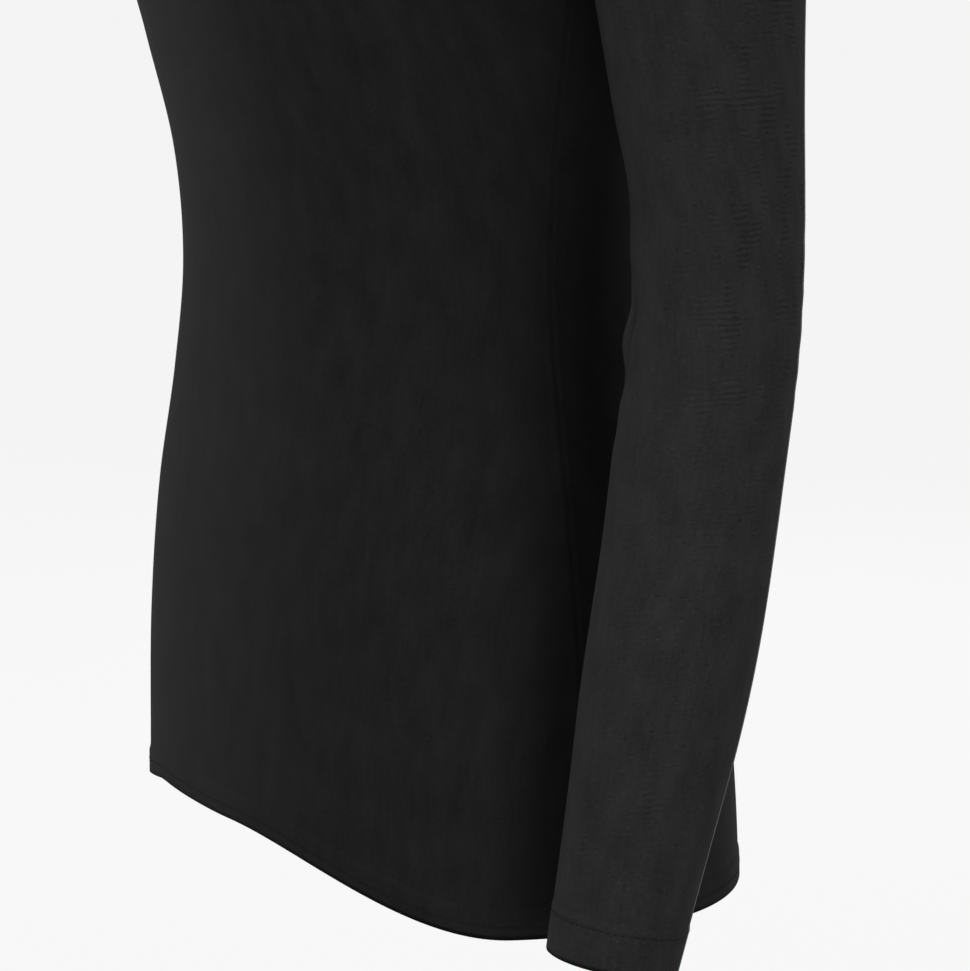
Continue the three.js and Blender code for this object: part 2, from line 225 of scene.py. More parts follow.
def follow(table, column, where):
    """The smooth curve through one column of a table, whose first column rises."""
    keys = np.array([row[0] for row in table], float)
    values = np.array([getattr(row, column) for row in table], float)
    gaps = np.diff(keys)
    rises = np.diff(values) / gaps
    inner = (rises[:-1] * gaps[1:] + rises[1:] * gaps[:-1]) / (gaps[:-1] + gaps[1:])
    slopes = np.concatenate([rises[:1], inner, rises[-1:]])
    where = np.clip(where, keys[0], keys[-1])
    i = np.clip(np.searchsorted(keys, where, side="right") - 1, 0, len(keys) - 2)
    share = (where - keys[i]) / gaps[i]
    return hermite(values[i], gaps[i] * slopes[i], values[i + 1], gaps[i] * slopes[i + 1], share)


def hermite(start, leave, end, arrive, share):
    """A cubic between two values, or points, with the slopes it leaves and arrives by."""
    s2, s3 = share * share, share**3
    blend = (2 * s3 - 3 * s2 + 1) * start + (s3 - 2 * s2 + share) * leave
    return blend + (3 * s2 - 2 * s3) * end + (s3 - s2) * arrive


def point(x, y, z):
    """Points from their coordinates, which may be numbers or arrays."""
    return np.stack(np.broadcast_arrays(x, y, z), axis=-1).astype(float)


def size_of(vectors):
    return np.linalg.norm(vectors, axis=-1, keepdims=True)


def unit(vectors):
    return vectors / np.maximum(size_of(vectors), 1e-12)


def smooth(x):
    x = np.clip(x, 0, 1)
    return x * x * (3 - 2 * x)


def sine(degrees):
    return np.sin(np.radians(degrees))


def cosine(degrees):
    return np.cos(np.radians(degrees))


def body_point(angle, z):
    """The body below the underarm: the angle is 0 at the centre front and 180 at the centre back."""
    power = 2 / BODY_SQUARENESS
    s, c = sine(angle), cosine(angle)
    reach = np.where(c > 0, follow(BODY, "front", z), follow(BODY, "back", z))
    x = follow(BODY, "side", z) * np.sign(s) * np.abs(s) ** power
    return point(x, -reach * np.sign(c) * np.abs(c) ** power, z)


def hem_height(angle):
    share = (angle - HEM_CURVE["starts"]) / (HEM_CURVE["ends"] - HEM_CURVE["starts"])
    return HEM_CURVE["front"] + (HEM_CURVE["back"] - HEM_CURVE["front"]) * smooth(share)


def armhole_point(half, share):
    """The armhole's edge on the wearer's left, from the underarm (0) to the shoulder point (1)."""
    swing = np.sin(np.pi * share**ARMHOLE_LOW)
    low = body_point(SIDE_SEAM_ANGLE, UNDERARM_Z)
    x = low[0] + (SHOULDER_POINT[0] - low[0]) * smooth(share) - ARMHOLE_PINCH[half] * swing
    y = low[1] + (SHOULDER_POINT[1] - low[1]) * share + ARMHOLE_BULGE[half] * swing
    z = UNDERARM_Z + (SHOULDER_POINT[2] - UNDERARM_Z) * sine(90 * share)
    return point(x, y, z)


def neckline_point(half, share):
    """The neckline from the centre (0) to where it meets the shoulder seam (1)."""
    c = cosine(90 * share)
    return point(
        NECK["half_width"] * sine(90 * share),
        NECK["middle"] + NECK_REACH[half] * c,
        NECK["top"] - NECK_DROP[half] * np.maximum(0, c) ** NECK["roundness"],
    )


def upper_edge(half, across):
    """A panel's upper edge, from the centre (0) to the shoulder point (1)."""
    neck = neckline_point("front", 1.0)
    share = (across - NECK_SHARE) / (1 - NECK_SHARE)
    shoulder = neck + (np.array(SHOULDER_POINT) - neck) * share
    return np.where(across <= NECK_SHARE, neckline_point(half, across[..., 0] / NECK_SHARE), shoulder)


def soft_upper_edge(half, across):
    """The same edge with its corner at the neck rounded off."""
    samples = CORNER["samples"]
    shifts = CORNER["reach"] * np.arange(-samples, samples + 1) / samples
    return sum(upper_edge(half, across + shift) for shift in shifts) / len(shifts)


def panel_angle(half, across):
    return across * SIDE_SEAM_ANGLE if half == "front" else 180 - across * (180 - SIDE_SEAM_ANGLE)


def yoke_column(half, across, up):
    """A panel above the underarm, up (0) to its upper edge (1), before it bends to the armhole."""
    across, up = across[..., None], up[..., None]
    angle = panel_angle(half, across[..., 0])
    base = body_point(angle, UNDERARM_Z)
    top = soft_upper_edge(half, across)
    leave = (base - body_point(angle, UNDERARM_Z - 1)) * size_of(top - base)
    neck, shoulder = np.array(NECK_ARRIVAL[half]), np.array(SHOULDER_ARRIVAL[half])
    arrive = unit(neck + (shoulder - neck) * smooth(across / NECK_SHARE)) * EDGE_REACH
    corner = (upper_edge(half, across) - top) * up ** CORNER["fade"]
    return hermite(base, leave, top, arrive, up) + corner


def yoke_point(half, across, up):
    share = across ** (EDGE_PULL["power"] + EDGE_PULL["extra"] * (1 - up) ** EDGE_PULL["fade"])
    pull = armhole_point(half, up) - yoke_column(half, np.ones_like(up), up)
    return yoke_column(half, across, up) + pull * share[..., None]


def panel_point(half, across, rise):
    """A panel on the wearer's left: up the body (rise from 0 to 1), then up the yoke (1 to 2)."""
    angle = panel_angle(half, across)
    low = hem_height(angle)
    body = body_point(angle, low + (UNDERARM_Z - low) * np.clip(rise, 0, 1))
    yoke = yoke_point(half, across, np.clip(rise - 1, 0, 1))
    return np.where(rise[..., None] > 1, yoke, body)


def arm_middle(along):
    return point(follow(ARM, "x", along), follow(ARM, "y", along), follow(ARM, "z", along))


def arm_point(along, angle):
    """The sleeve below the underarm: the angle is 0 at the inner side, 90 in front and 180 outside."""
    ahead = arm_middle(np.minimum(along + NEARBY, SLEEVE_LENGTH))
    direction = unit(ahead - arm_middle(np.maximum(along - NEARBY, 0)))
    outward = unit(np.array([1.0, 0, 0]) - direction * direction[..., :1])
    forward = unit(np.cross(direction, outward))
    forward = np.where(forward[..., 1:2] > 0, -forward, forward)
    across = follow(SLEEVE, "across", along) / 2 * cosine(angle)
    deep = follow(SLEEVE, "deep", along) / 2 * sine(angle)
    return arm_middle(along) - outward * across[..., None] + forward * deep[..., None]


def head_point(angle, down):
    """The sleeve head, from the armhole (0) to the ring under the arm (1)."""
    share = np.where(angle <= 180, angle, 360 - angle) / 180
    front, back = armhole_point("front", share), armhole_point("back", share)
    start = np.where(angle[..., None] <= 180, front, back)
    none = np.zeros_like(angle)
    end = arm_point(none, angle)
    ease = (1 - share) ** SLEEVE_HEAD["easing"]
    lean = SLEEVE_HEAD["shoulder"] + (SLEEVE_HEAD["underarm"] - SLEEVE_HEAD["shoulder"]) * ease
    reach = size_of(end - start)
    leave = point(cosine(lean), none, -sine(lean)) * reach * SLEEVE_HEAD["fullness"]
    arrive = unit(arm_point(none + NEARBY, angle) - end) * reach
    return hermite(start, leave, end, arrive, down[..., None])


def band_point(turn, up):
    """The neckband, round from the centre front and up from the neckline (0) to its fold (1)."""
    behind = (turn > 90) & (turn < 270)
    folded = np.abs((turn + 180) % 360 - 180)
    share = np.where(behind, 180 - folded, folded) / 90
    seam = np.where(behind[..., None], neckline_point("back", share), neckline_point("front", share))
    seam[..., 0] = np.where(turn > 180, -seam[..., 0], seam[..., 0])
    middle = np.where(behind, BAND_LEAN["back"], BAND_LEAN["front"])
    lean = middle + (BAND_LEAN["side"] - middle) * smooth(share)
    inward = unit(point(-seam[..., 0], NECK["middle"] - seam[..., 1], 0))
    rise = unit(inward * lean[..., None] + np.array([0, 0, 1.0])) * BAND_WIDTH
    return seam + rise * up[..., None]


class Cloth:
    """A piece of cloth as rows and columns of points, in millimetres.

    Row 0 is its free edge and the last row is sewn. Seen from outside, rows go up from the
    hem and columns go to the right, which round a body is from its right side to its left.
    """

    def __init__(self, points, is_round, wall):
        self.points = points
        self.is_round = is_round
        self.wall = wall
        self.relief = np.zeros(points.shape[:2])
        self.marks = {}

    def normals(self):
        if self.is_round:
            across = np.roll(self.points, -1, axis=1) - np.roll(self.points, 1, axis=1)
        else:
            across = np.gradient(self.points, axis=1)
        return unit(np.cross(across, np.gradient(self.points, axis=0)))

    def walk(self, axis):
        """Distance along the rows (axis 0) or columns (axis 1), from the first line."""
        steps = np.linalg.norm(np.diff(self.points, axis=axis), axis=-1)
        total = np.cumsum(steps, axis=axis)
        return np.concatenate([np.zeros_like(np.take(total, [0], axis=axis)), total], axis=axis)

    def far_from(self, edge):
        """Distance of every point from the "hem", the "top", the "left" or the "right" edge."""
        axis = 0 if edge in ("hem", "top") else 1
        walk = self.walk(axis)
        if edge in ("hem", "left"):
            return walk
        return np.take(walk, [-1], axis=axis) - walk

    def dent(self, depth):
        self.points = self.points - self.normals() * depth[..., None]

    def outside(self):
        return self.points + self.normals() * self.relief[..., None]

    def inside(self):
        return self.points - self.normals() * self.wall

    def line(self, edge, far):
        """The line of points that lies so far from an edge, and the directions out of the cloth."""
        distances, normals = self.far_from(edge), self.normals()
        points = self.outside()
        if edge in ("left", "right"):
            distances, points, normals = (a.swapaxes(0, 1) for a in (distances, points, normals))
        if edge in ("top", "right"):
            distances, points, normals = distances[::-1], points[::-1], normals[::-1]
        hit = np.argmax(distances >= far, axis=0)
        hit = np.clip(hit, 1, len(points) - 1)
        columns = np.arange(points.shape[1])
        before, after = distances[hit - 1, columns], distances[hit, columns]
        share = ((far - before) / np.maximum(after - before, 1e-9))[:, None]
        place = points[hit - 1, columns] * (1 - share) + points[hit, columns] * share
        out = normals[hit - 1, columns] * (1 - share) + normals[hit, columns] * share
        return place, unit(out)

    def mirrored(self):
        points = self.points[:, ::-1] * np.array([-1.0, 1, 1])
        twin = Cloth(points, self.is_round, self.wall)
        twin.relief = self.relief[:, ::-1]
        twin.marks = {name: mark[:, ::-1] for name, mark in self.marks.items()}
        return twin


def even(start, end, spacing):
    """Values from start to end, so many millimetres apart, without the end."""
    count = max(2, math.ceil(abs(end - start) / spacing))
    return np.linspace(start, end, count, endpoint=False)


def seam_ridge(far):
    """A flat seam's low ridge, by distance from its line."""
    bump = np.exp(-(((far - SEAM_RIDGE["far"]) / SEAM_RIDGE["spread"]) ** 2))
    return SEAM_RIDGE["height"] * bump * smooth(far / SEAM_RIDGE["far"])


def hem_band(hem, far):
    """How far a turned hem stands out: a band with a soft step, and a groove under its stitches."""
    band = hem["raised"] * (1 - smooth((far - hem["depth"]) / hem["step"]))
    off = far - hem["row"]
    groove = GROOVE["depth"] * np.exp(-((off / GROOVE["width"]) ** 2))
    return band - groove + GROOVE["lip"] * np.exp(-(((off - GROOVE["lip_far"]) / GROOVE["width"]) ** 2))


def crease_dent(crease, around, along):
    """A crease's dent at points given by their distances from its middle."""
    s, c = math.sin(math.radians(crease.slant)), math.cos(math.radians(crease.slant))
    run = (around * c + along * s) / (crease.length / 2)
    off = along * c - around * s - crease.bow * run * run
    taper = np.clip(1 - run * run, 0, 1) ** 1.5
    x = np.abs(off) / (crease.width * (0.5 + 0.5 * taper))
    beside = np.exp(-(((x - CREASE_SHOULDER["far"]) / CREASE_SHOULDER["spread"]) ** 2))
    height = CREASE_SHOULDER["height"] if crease.width < BROAD else 0
    return crease.depth * taper * (np.exp(-x * x) - height * beside)


def panel(half, creases, strength):
    """The front or back: an even grid with closer lines along the seams and in the hem."""
    length = UNDERARM_Z - HEM_CURVE["front"]
    hem = even(0, BODY_HEM["depth"] + 2 * BODY_HEM["step"], HEM_SPACING)
    body = even(hem[-1] + HEM_SPACING, length, SPACING)
    rises = np.concatenate([hem / length, body / length, 1 + crowded_lines(COUNT["yoke"])])
    edge = 1 - np.array(EDGE_LINES[::-1]) / half_width_of(half)
    sides = np.linspace(NECK_SHARE, edge[0], COUNT["side"], endpoint=False)
    across = np.concatenate([neck_lines() * NECK_SHARE, sides, edge, [1.0]])
    left = panel_point(half, *np.meshgrid(across, rises))
    right = left[:, :0:-1] * np.array([-1.0, 1, 1])
    points = np.concatenate([right, left], axis=1)
    if half == "back":
        points = points[:, ::-1]
    cloth = Cloth(points, False, WALL)
    return finished_panel(cloth, creases, strength, len(hem) + len(body))


def half_width_of(half):
    """The width of half a panel at the underarm, round the body."""
    angles = panel_angle(half, np.linspace(0, 1, COUNT["underarm"]))
    ring = body_point(angles, UNDERARM_Z)
    return float(size_of(np.diff(ring, axis=0)).sum())


def neck_lines():
    return np.linspace(0, 1, COUNT["neck"], endpoint=False)


def crowded_lines(count):
    """Shares from 0 to 1 that crowd together before the end, where a seam is."""
    return np.concatenate([np.linspace(0, EDGE_SHARES[0], count, endpoint=False), EDGE_SHARES])


def finished_panel(cloth, creases, strength, underarm_row):
    """Adds the hem, seam ridges and creases to a panel."""
    middle = cloth.points.shape[1] // 2
    around, along = cloth.walk(1), cloth.walk(0)
    around = around - around[:, [middle]]
    along = along - along[[underarm_row]]
    seam = np.min([cloth.far_from(edge) for edge in ("left", "right", "top")], axis=0)
    hem = cloth.far_from("hem")
    fade = smooth(seam / CREASE_FADE) * smooth((hem - BODY_HEM["depth"]) / CREASE_FADE)
    dents = sum(crease_dent(c, around - c.around, along - c.along) for c in creases)
    cloth.relief = hem_band(BODY_HEM, hem) + seam_ridge(seam)
    cloth.dent(dents * fade * strength)
    cloth.marks = {"u": around, "v": along, "pucker": np.zeros_like(around)}
    return cloth


def sleeve(creases, strength):
    """The left sleeve: rings from the cuff up to the armhole, starting at its seam."""
    hem = even(0, CUFF_HEM["depth"] + 2 * CUFF_HEM["step"], HEM_SPACING)
    arm = even(hem[-1] + HEM_SPACING, SLEEVE_LENGTH, SPACING)
    alongs = SLEEVE_LENGTH - np.concatenate([hem, arm])
    downs = np.linspace(1, 0, COUNT["head"]) ** HEAD_CROWDING
    lines = 180 * crowded_lines(COUNT["round"])
    angles = np.concatenate([lines, (360 - lines[::-1])[1:-1]])
    angles = np.roll(angles, -int(np.argmin(np.abs(angles - SLEEVE_SEAM_ANGLE))))
    arm_rings = arm_point(*np.meshgrid(alongs, angles, indexing="ij"))
    angle_grid, down_grid = np.meshgrid(angles, downs)
    rings = np.concatenate([arm_rings, head_point(angle_grid, down_grid)])
    cloth = Cloth(rings, True, WALL)
    return finished_sleeve(cloth, angles, creases, strength, len(alongs))


def finished_sleeve(cloth, angles, creases, strength, underarm_row):
    """Adds the cuff's hem, the seam ridges, the creases and the puckers to a sleeve."""
    walk = cloth.walk(0)
    along = walk[[underarm_row]] - walk
    around = cloth.walk(1) - cloth.walk(1)[:, [len(angles) // 2]]
    radius = follow(SLEEVE, "deep", along) / 2
    hem, top = cloth.far_from("hem"), cloth.far_from("top")

    def beside(angle):
        turn = (angles[None, :] - angle + 180) % 360 - 180
        return np.radians(turn) * radius

    fade = smooth(top / CREASE_FADE) * smooth((hem - CUFF_HEM["depth"]) / CREASE_FADE)
    dents = sum(crease_dent(c, beside(c.angle), c.along - along) for c in creases)
    ridge = np.maximum(seam_ridge(top), seam_ridge(np.abs(beside(angles[0]))))
    cloth.relief = hem_band(CUFF_HEM, hem) + ridge
    cloth.dent(dents * fade * strength)
    pucker = sum(
        p.strength * np.exp(-((beside(p.angle) / p.wide) ** 2) - ((along - p.along) / p.long) ** 2)
        for p in PUCKERS
    )
    cloth.marks = {"u": around, "v": -along, "pucker": np.clip(pucker, 0, 1)}
    return cloth


def neckband():
    """The neckband: rings from its fold down to the neckline."""
    quarter = neck_lines()
    turns = 90 * np.concatenate([quarter, quarter + 1, quarter + 2, quarter + 3])
    fold = BAND_WALL / 2 / BAND_WIDTH
    ups = np.concatenate([np.linspace(1 - fold, 0.3, COUNT["band"]), BAND_LOW_LINES])
    points = band_point(*np.meshgrid(turns[::-1], ups))
    cloth = Cloth(points, True, BAND_WALL)
    cloth.relief = seam_ridge(cloth.far_from("top"))
    around = cloth.walk(1)
    cloth.marks = {"u": around, "v": -cloth.walk(0), "pucker": np.zeros_like(around)}
    return cloth


def varied(creases, seed):
    """The same creases, each a little elsewhere and of another length and depth."""
    random = np.random.default_rng(seed)
    made = []
    for crease in creases:
        shift, turn, longer, deeper = random.uniform(-1, 1, 4)
        made.append(
            crease._replace(
                along=crease.along + VARIATION["along"] * shift,
                slant=crease.slant + VARIATION["slant"] * turn,
                length=crease.length * (1 + VARIATION["length"] * longer),
                depth=crease.depth * (1 + VARIATION["depth"] * deeper),
            )
        )
    return made


@functools.cache
def cloths():
    """Every piece of the top, by the name of its node."""
    strength = bpy.context.scene.top_cloth.crease_strength
    left = sleeve(ARM_CREASES, strength)
    right = sleeve(varied(ARM_CREASES, RIGHT_SLEEVE_SEED), strength).mirrored()
    return {
        "front": panel("front", FRONT_CREASES, strength),
        "back": panel("back", BACK_CREASES, strength),
        "sleeve_left": left,
        "sleeve_right": right,
        "neckband": neckband(),
    }


def wall_rows(cloth):
    """The rows of a closed wall: down the inside, round the fold and up the outside."""
    inside, outside = cloth.inside(), cloth.outside()
    middle, half = (outside[0] + inside[0]) / 2, (outside[0] - inside[0]) / 2
    down = unit(cloth.points[0] - cloth.points[1]) * size_of(half)
    turns = np.pi * np.arange(1, FOLD_STEPS) / FOLD_STEPS
    fold = [middle - half * math.cos(t) + down * math.sin(t) for t in turns]
    return np.concatenate([inside[::-1], np.array(fold), outside])


def cloth_mesh(name, cloth):
    """A closed mesh of the cloth, with its cut's coordinates as UVs in metres."""
    rows = wall_rows(cloth)
    height, width = rows.shape[:2]
    count, folds = len(cloth.points), FOLD_STEPS - 1
    order = list(range(count - 1, -1, -1)) + [0] * folds + list(range(count))
    r, c = np.indices((height, width if cloth.is_round else width - 1)).reshape(2, -1)
    up, right = (r + 1) % height, c + 1
    corner_rows, corner_columns = np.stack([r, r, up, up], 1), np.stack([c, right, right, c], 1)
    faces = [tuple(face) for face in (corner_rows * width + corner_columns % width).tolist()]
    uv_rows = np.stack([corner_rows, corner_columns], axis=-1).reshape(-1, 2)
    if not cloth.is_round:
        ends, uv_ends = side_faces(count, folds, width)
        faces += ends
        uv_rows = np.concatenate([uv_rows, np.array(uv_ends)])
    mesh = bpy.data.meshes.new(name)
    mesh.from_pydata((rows.reshape(-1, 3) * MM).tolist(), [], faces)
    marks = {key: value[order] for key, value in cloth.marks.items()}
    closing = marks["u"][:, -1:] + size_of(rows[:, -1:] - rows[:, :1])[..., 0]
    u = np.concatenate([marks["u"], closing], axis=1)
    v = np.concatenate([marks["v"], marks["v"][:, :1]], axis=1)
    layer = mesh.uv_layers.new(name="cut")
    uv = np.stack([u[uv_rows[:, 0], uv_rows[:, 1]], v[uv_rows[:, 0], uv_rows[:, 1]]], axis=1) * MM
    layer.data.foreach_set("uv", uv.ravel())
    # Painted shade: the rim share marks the fold at each free edge, and the finish darkens the colour
    # there as shade under the fold.
    rim = np.zeros((height, width))
    rim[count - 1 : count + folds + 1] = 1
    rim[count + folds + 1] = 0.7
    for key, mark in (("pucker", marks["pucker"]), ("rim", rim)):
        attribute = mesh.attributes.new(key, "FLOAT", "POINT")
        attribute.data.foreach_set("value", mark.ravel())
    mesh.polygons.foreach_set("use_smooth", [True] * len(faces))
    mesh.set_sharp_from_angle(angle=math.radians(SHARP_ANGLE))
    mesh.validate()
    return mesh


def side_faces(count, folds, width):
    """The faces that close a panel's left and right edges, and the row and column of each corner."""
    first = count + folds
    rims = [(first + r, first + r + 1, count - 2 - r, count - 1 - r) for r in range(count - 1)]
    rims.append(tuple(range(count - 1, first + 1)))
    faces, places = [], []
    for column in (0, width - 1):
        for rim in rims:
            rows = rim if column == 0 else rim[::-1]
            faces.append(tuple(row * width + column for row in rows))
            places += [(row, column) for row in rows]
    return faces, places


def add_node(tree, kind, settings=None, sockets=None):
    """Adds a node to a tree: its settings first, then the values or links of its sockets."""
    node = tree.nodes.new(kind)
    for name, value in (settings or {}).items():
        setattr(node, name, value)
    for name, value in (sockets or {}).items():
        if isinstance(value, bpy.types.NodeSocket):
            tree.links.new(value, node.inputs[name])
        else:
            node.inputs[name].default_value = value
    return node


class Value:
    """A number in a shader, on which arithmetic adds Math nodes."""

    def __init__(self, finish, socket):
        self.finish = finish
        self.socket = socket

    def math(self, operation, *others):
        values = dict(enumerate((self, *others)))
        return self.finish.node("ShaderNodeMath", {"operation": operation}, values)

    def __add__(self, other):
        return self.math("ADD", other)

    def __mul__(self, other):
        return self.math("MULTIPLY", other)

    def __sub__(self, other):
        return self.math("SUBTRACT", other)

    def __rsub__(self, other):
        return self.math("MULTIPLY_ADD", -1.0, other)

    def __truediv__(self, other):
        return self.math("DIVIDE", other)

    __radd__ = __add__
    __rmul__ = __mul__


class Finish:
    """A material, with one method that adds any node to it."""

    def __init__(self, name):
        self.material = bpy.data.materials.new(name)
        self.material.use_nodes = True
        self.tree = self.material.node_tree
        self.tree.nodes.clear()

    def node(self, kind, settings=None, sockets=None, output=0):
        given = {name: getattr(value, "socket", value) for name, value in (sockets or {}).items()}
        return Value(self, add_node(self.tree, kind, settings, given).outputs[output])

    def surface(self, shader):
        add_node(self.tree, "ShaderNodeOutputMaterial", sockets={"Surface": shader.socket})


# The jersey's patterns: each one's size across and along, its detail and where it is read
Pattern = namedtuple("Pattern", "across along detail seed")
FLECKS = Pattern(0.0013, 0.0017, 2.0, 1.0)
STREAKS = Pattern(0.0016, 0.013, 2.0, 3.0)
CLOUDS = Pattern(0.011, 0.024, 2.0, 5.0)
DASHES = Pattern(0.0026, 0.0009, 1.0, 7.0)
SWAY = Pattern(0.012, 0.007, 2.0, 9.0)
PATCHES = Pattern(0.0095, 0.017, 1.0, 11.0)
# Shares of the colour: the mottling's darkest and lightest, and the rim's, which is painted shade at
# the folded edges.
SHADES = {"dark": 0.45, "light": 1.55, "rim": 0.1}
GRAIN = {"body": 0.6, "sleeves": 0.8}
WHITE = (1.0, 1.0, 1.0, 1.0)
KNIT_DEPTH = 0.00014
RIPPLE_DEPTH = 0.0003


def cloth_colour(colour, factor):
    return tuple(channel * factor for channel in colour) + (1.0,)


def jersey_finish(name, colour, grain, props):
    """Fine matt jersey: knit columns, small flecks, soft mottling, puckers and painted shade round its
    folded edges.
    """
    finish = Finish(name)
    cut = finish.node("ShaderNodeUVMap", {"uv_map": "cut"})
    u = finish.node("ShaderNodeSeparateXYZ", sockets={0: cut}, output=0)
    v = finish.node("ShaderNodeSeparateXYZ", sockets={0: cut}, output=1)

    def noise(pattern):
        spot = {0: u / pattern.across, 1: v / pattern.along, 2: pattern.seed}
        place = finish.node("ShaderNodeCombineXYZ", sockets=spot)
        sockets = {"Vector": place, "Scale": 1.0, "Detail": pattern.detail}
        return finish.node("ShaderNodeTexNoise", sockets=sockets)

    def mark(name):
        return finish.node("ShaderNodeAttribute", {"attribute_name": name}, output=2)

    wale = (u * (math.tau / props.wale)).math("COSINE")
    vee = (u * (math.pi / props.wale)).math("COSINE").math("ABSOLUTE")
    course = (v * (math.tau / props.course) + vee * 2.2).math("SINE")
    knit = (wale * 0.5 + 0.5) * (course * 0.3 + 0.7)
    flecks, dashes = noise(FLECKS), noise(DASHES) - 0.5
    marks = dashes * dashes * dashes * 26.0
    specks = ((flecks - 0.5) * 0.55 + marks) * grain
    mottling = (noise(STREAKS) - 0.5) * 0.35 + (noise(CLOUDS) - 0.5) * 0.65
    shade = specks + mottling + knit * 0.06 + 0.48
    mixed = finish.node(
        "ShaderNodeMix",
        {"data_type": "RGBA"},
        {0: shade, 6: cloth_colour(colour, SHADES["dark"]), 7: cloth_colour(colour, SHADES["light"])},
        output=2,
    )
    # Painted shade: the colour darkens to the rim's share along the folded edges.
    edge_shaded = finish.node(
        "ShaderNodeMix",
        {"data_type": "RGBA"},
        {0: mark("rim") * 0.85, 6: mixed, 7: cloth_colour(colour, SHADES["rim"])},
        output=2,
    )
    patches = finish.node(
        "ShaderNodeMapRange",
        {"interpolation_type": "SMOOTHSTEP"},
        {"Value": noise(PATCHES), "From Min": 0.53, "From Max": 0.63},
    )
    ripples = (v * (math.tau / props.ripple) + noise(SWAY) * 6.5).math("SINE")
    fine = finish.node(
        "ShaderNodeBump",
        sockets={"Strength": 0.4, "Distance": KNIT_DEPTH, "Height": knit + flecks * 1.8},
    )
    puckered = finish.node(
        "ShaderNodeBump",
        sockets={
            "Strength": 1.0,
            "Distance": RIPPLE_DEPTH,
            "Height": ripples * mark("pucker") * patches,
            "Normal": fine,
        },
    )
    shader = finish.node(
        "ShaderNodeBsdfPrincipled",
        sockets={
            "Base Color": edge_shaded,
            "Roughness": flecks * 0.12 + 0.82,
            "Specular IOR Level": props.gloss,
            "Sheen Weight": props.sheen,
            "Sheen Roughness": 0.5,
            "Sheen Tint": (0.95, 0.95, 0.95, 1.0),
            "Normal": puckered,
        },
    )
    finish.surface(shader)
    return finish.material


def thread_finish(name, colour):
    """Dark sewing thread with a faint twist."""
    finish = Finish(name)
    place = finish.node("ShaderNodeTexCoord", output=3)
    sockets = {"Vector": place, "Scale": 2600.0, "Detail": 1.0}
    twist = finish.node("ShaderNodeTexNoise", sockets=sockets)
    mixed = finish.node(
        "ShaderNodeMix",
        {"data_type": "RGBA"},
        {0: twist, 6: cloth_colour(colour, 0.8), 7: cloth_colour(colour, 1.5)},
        output=2,
    )
    shader = finish.node(
        "ShaderNodeBsdfPrincipled",
        sockets={"Base Color": mixed, "Roughness": twist * 0.2 + 0.7, "Specular IOR Level": 0.03},
    )
    finish.surface(shader)
    return finish.material


def stage_finish(name, colour, glow):
    finish = Finish(name)
    shader = finish.node(
        "ShaderNodeBsdfPrincipled",
        sockets={
            "Base Color": (*colour, 1.0),
            "Roughness": 1.0,
            "Specular IOR Level": 0.0,
            "Emission Color": WHITE,
            "Emission Strength": glow,
        },
    )
    finish.surface(shader)
    return finish.material


def add_object(name, mesh, *materials):
    obj = bpy.data.objects.new(name, mesh)
    bpy.context.scene.collection.objects.link(obj)
    for material in materials:
        obj.data.materials.append(material)
    return obj


# A record for a cut piece: the size it is cut to in metres, its cut area and its slot; the script makes
# none with it
Cut = namedtuple("Cut", "width length area slot")


def make_cloth(node, finish):
    """Makes one piece of cloth in place of its node."""
    obj = add_object(f"{node}_cloth", cloth_mesh(f"{node}_cloth", cloths()[node]), finish)
    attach(obj, "root")
    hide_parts(node)


def walk_along(points):
    return np.concatenate([[0], np.cumsum(np.linalg.norm(np.diff(points, axis=0), axis=1))])


def at_stops(stops, walk, values):
    """Points or directions at distances along a line, from those at its corners."""
    return np.stack([np.interp(stops, walk, values[:, k]) for k in range(3)], axis=1)


def stitch_places(lines, spacing):
    """Where stitches lie along lines of points: their places, directions and ways out."""
    places, lays, outs = [], [], []
    for points, normals, closed in lines:
        if closed:
            points = np.concatenate([points, points[:1]])
            normals = np.concatenate([normals, normals[:1]])
        walk = walk_along(points)
        count = max(2, round(walk[-1] / spacing))
        stops = (np.arange(count) + 0.5) * walk[-1] / count
        places.append(at_stops(stops, walk, points))
        lays.append(unit(at_stops(stops + 0.5, walk, points) - at_stops(stops - 0.5, walk, points)))
        outs.append(unit(at_stops(stops, walk, normals)))
    return np.concatenate(places), np.concatenate(lays), np.concatenate(outs)


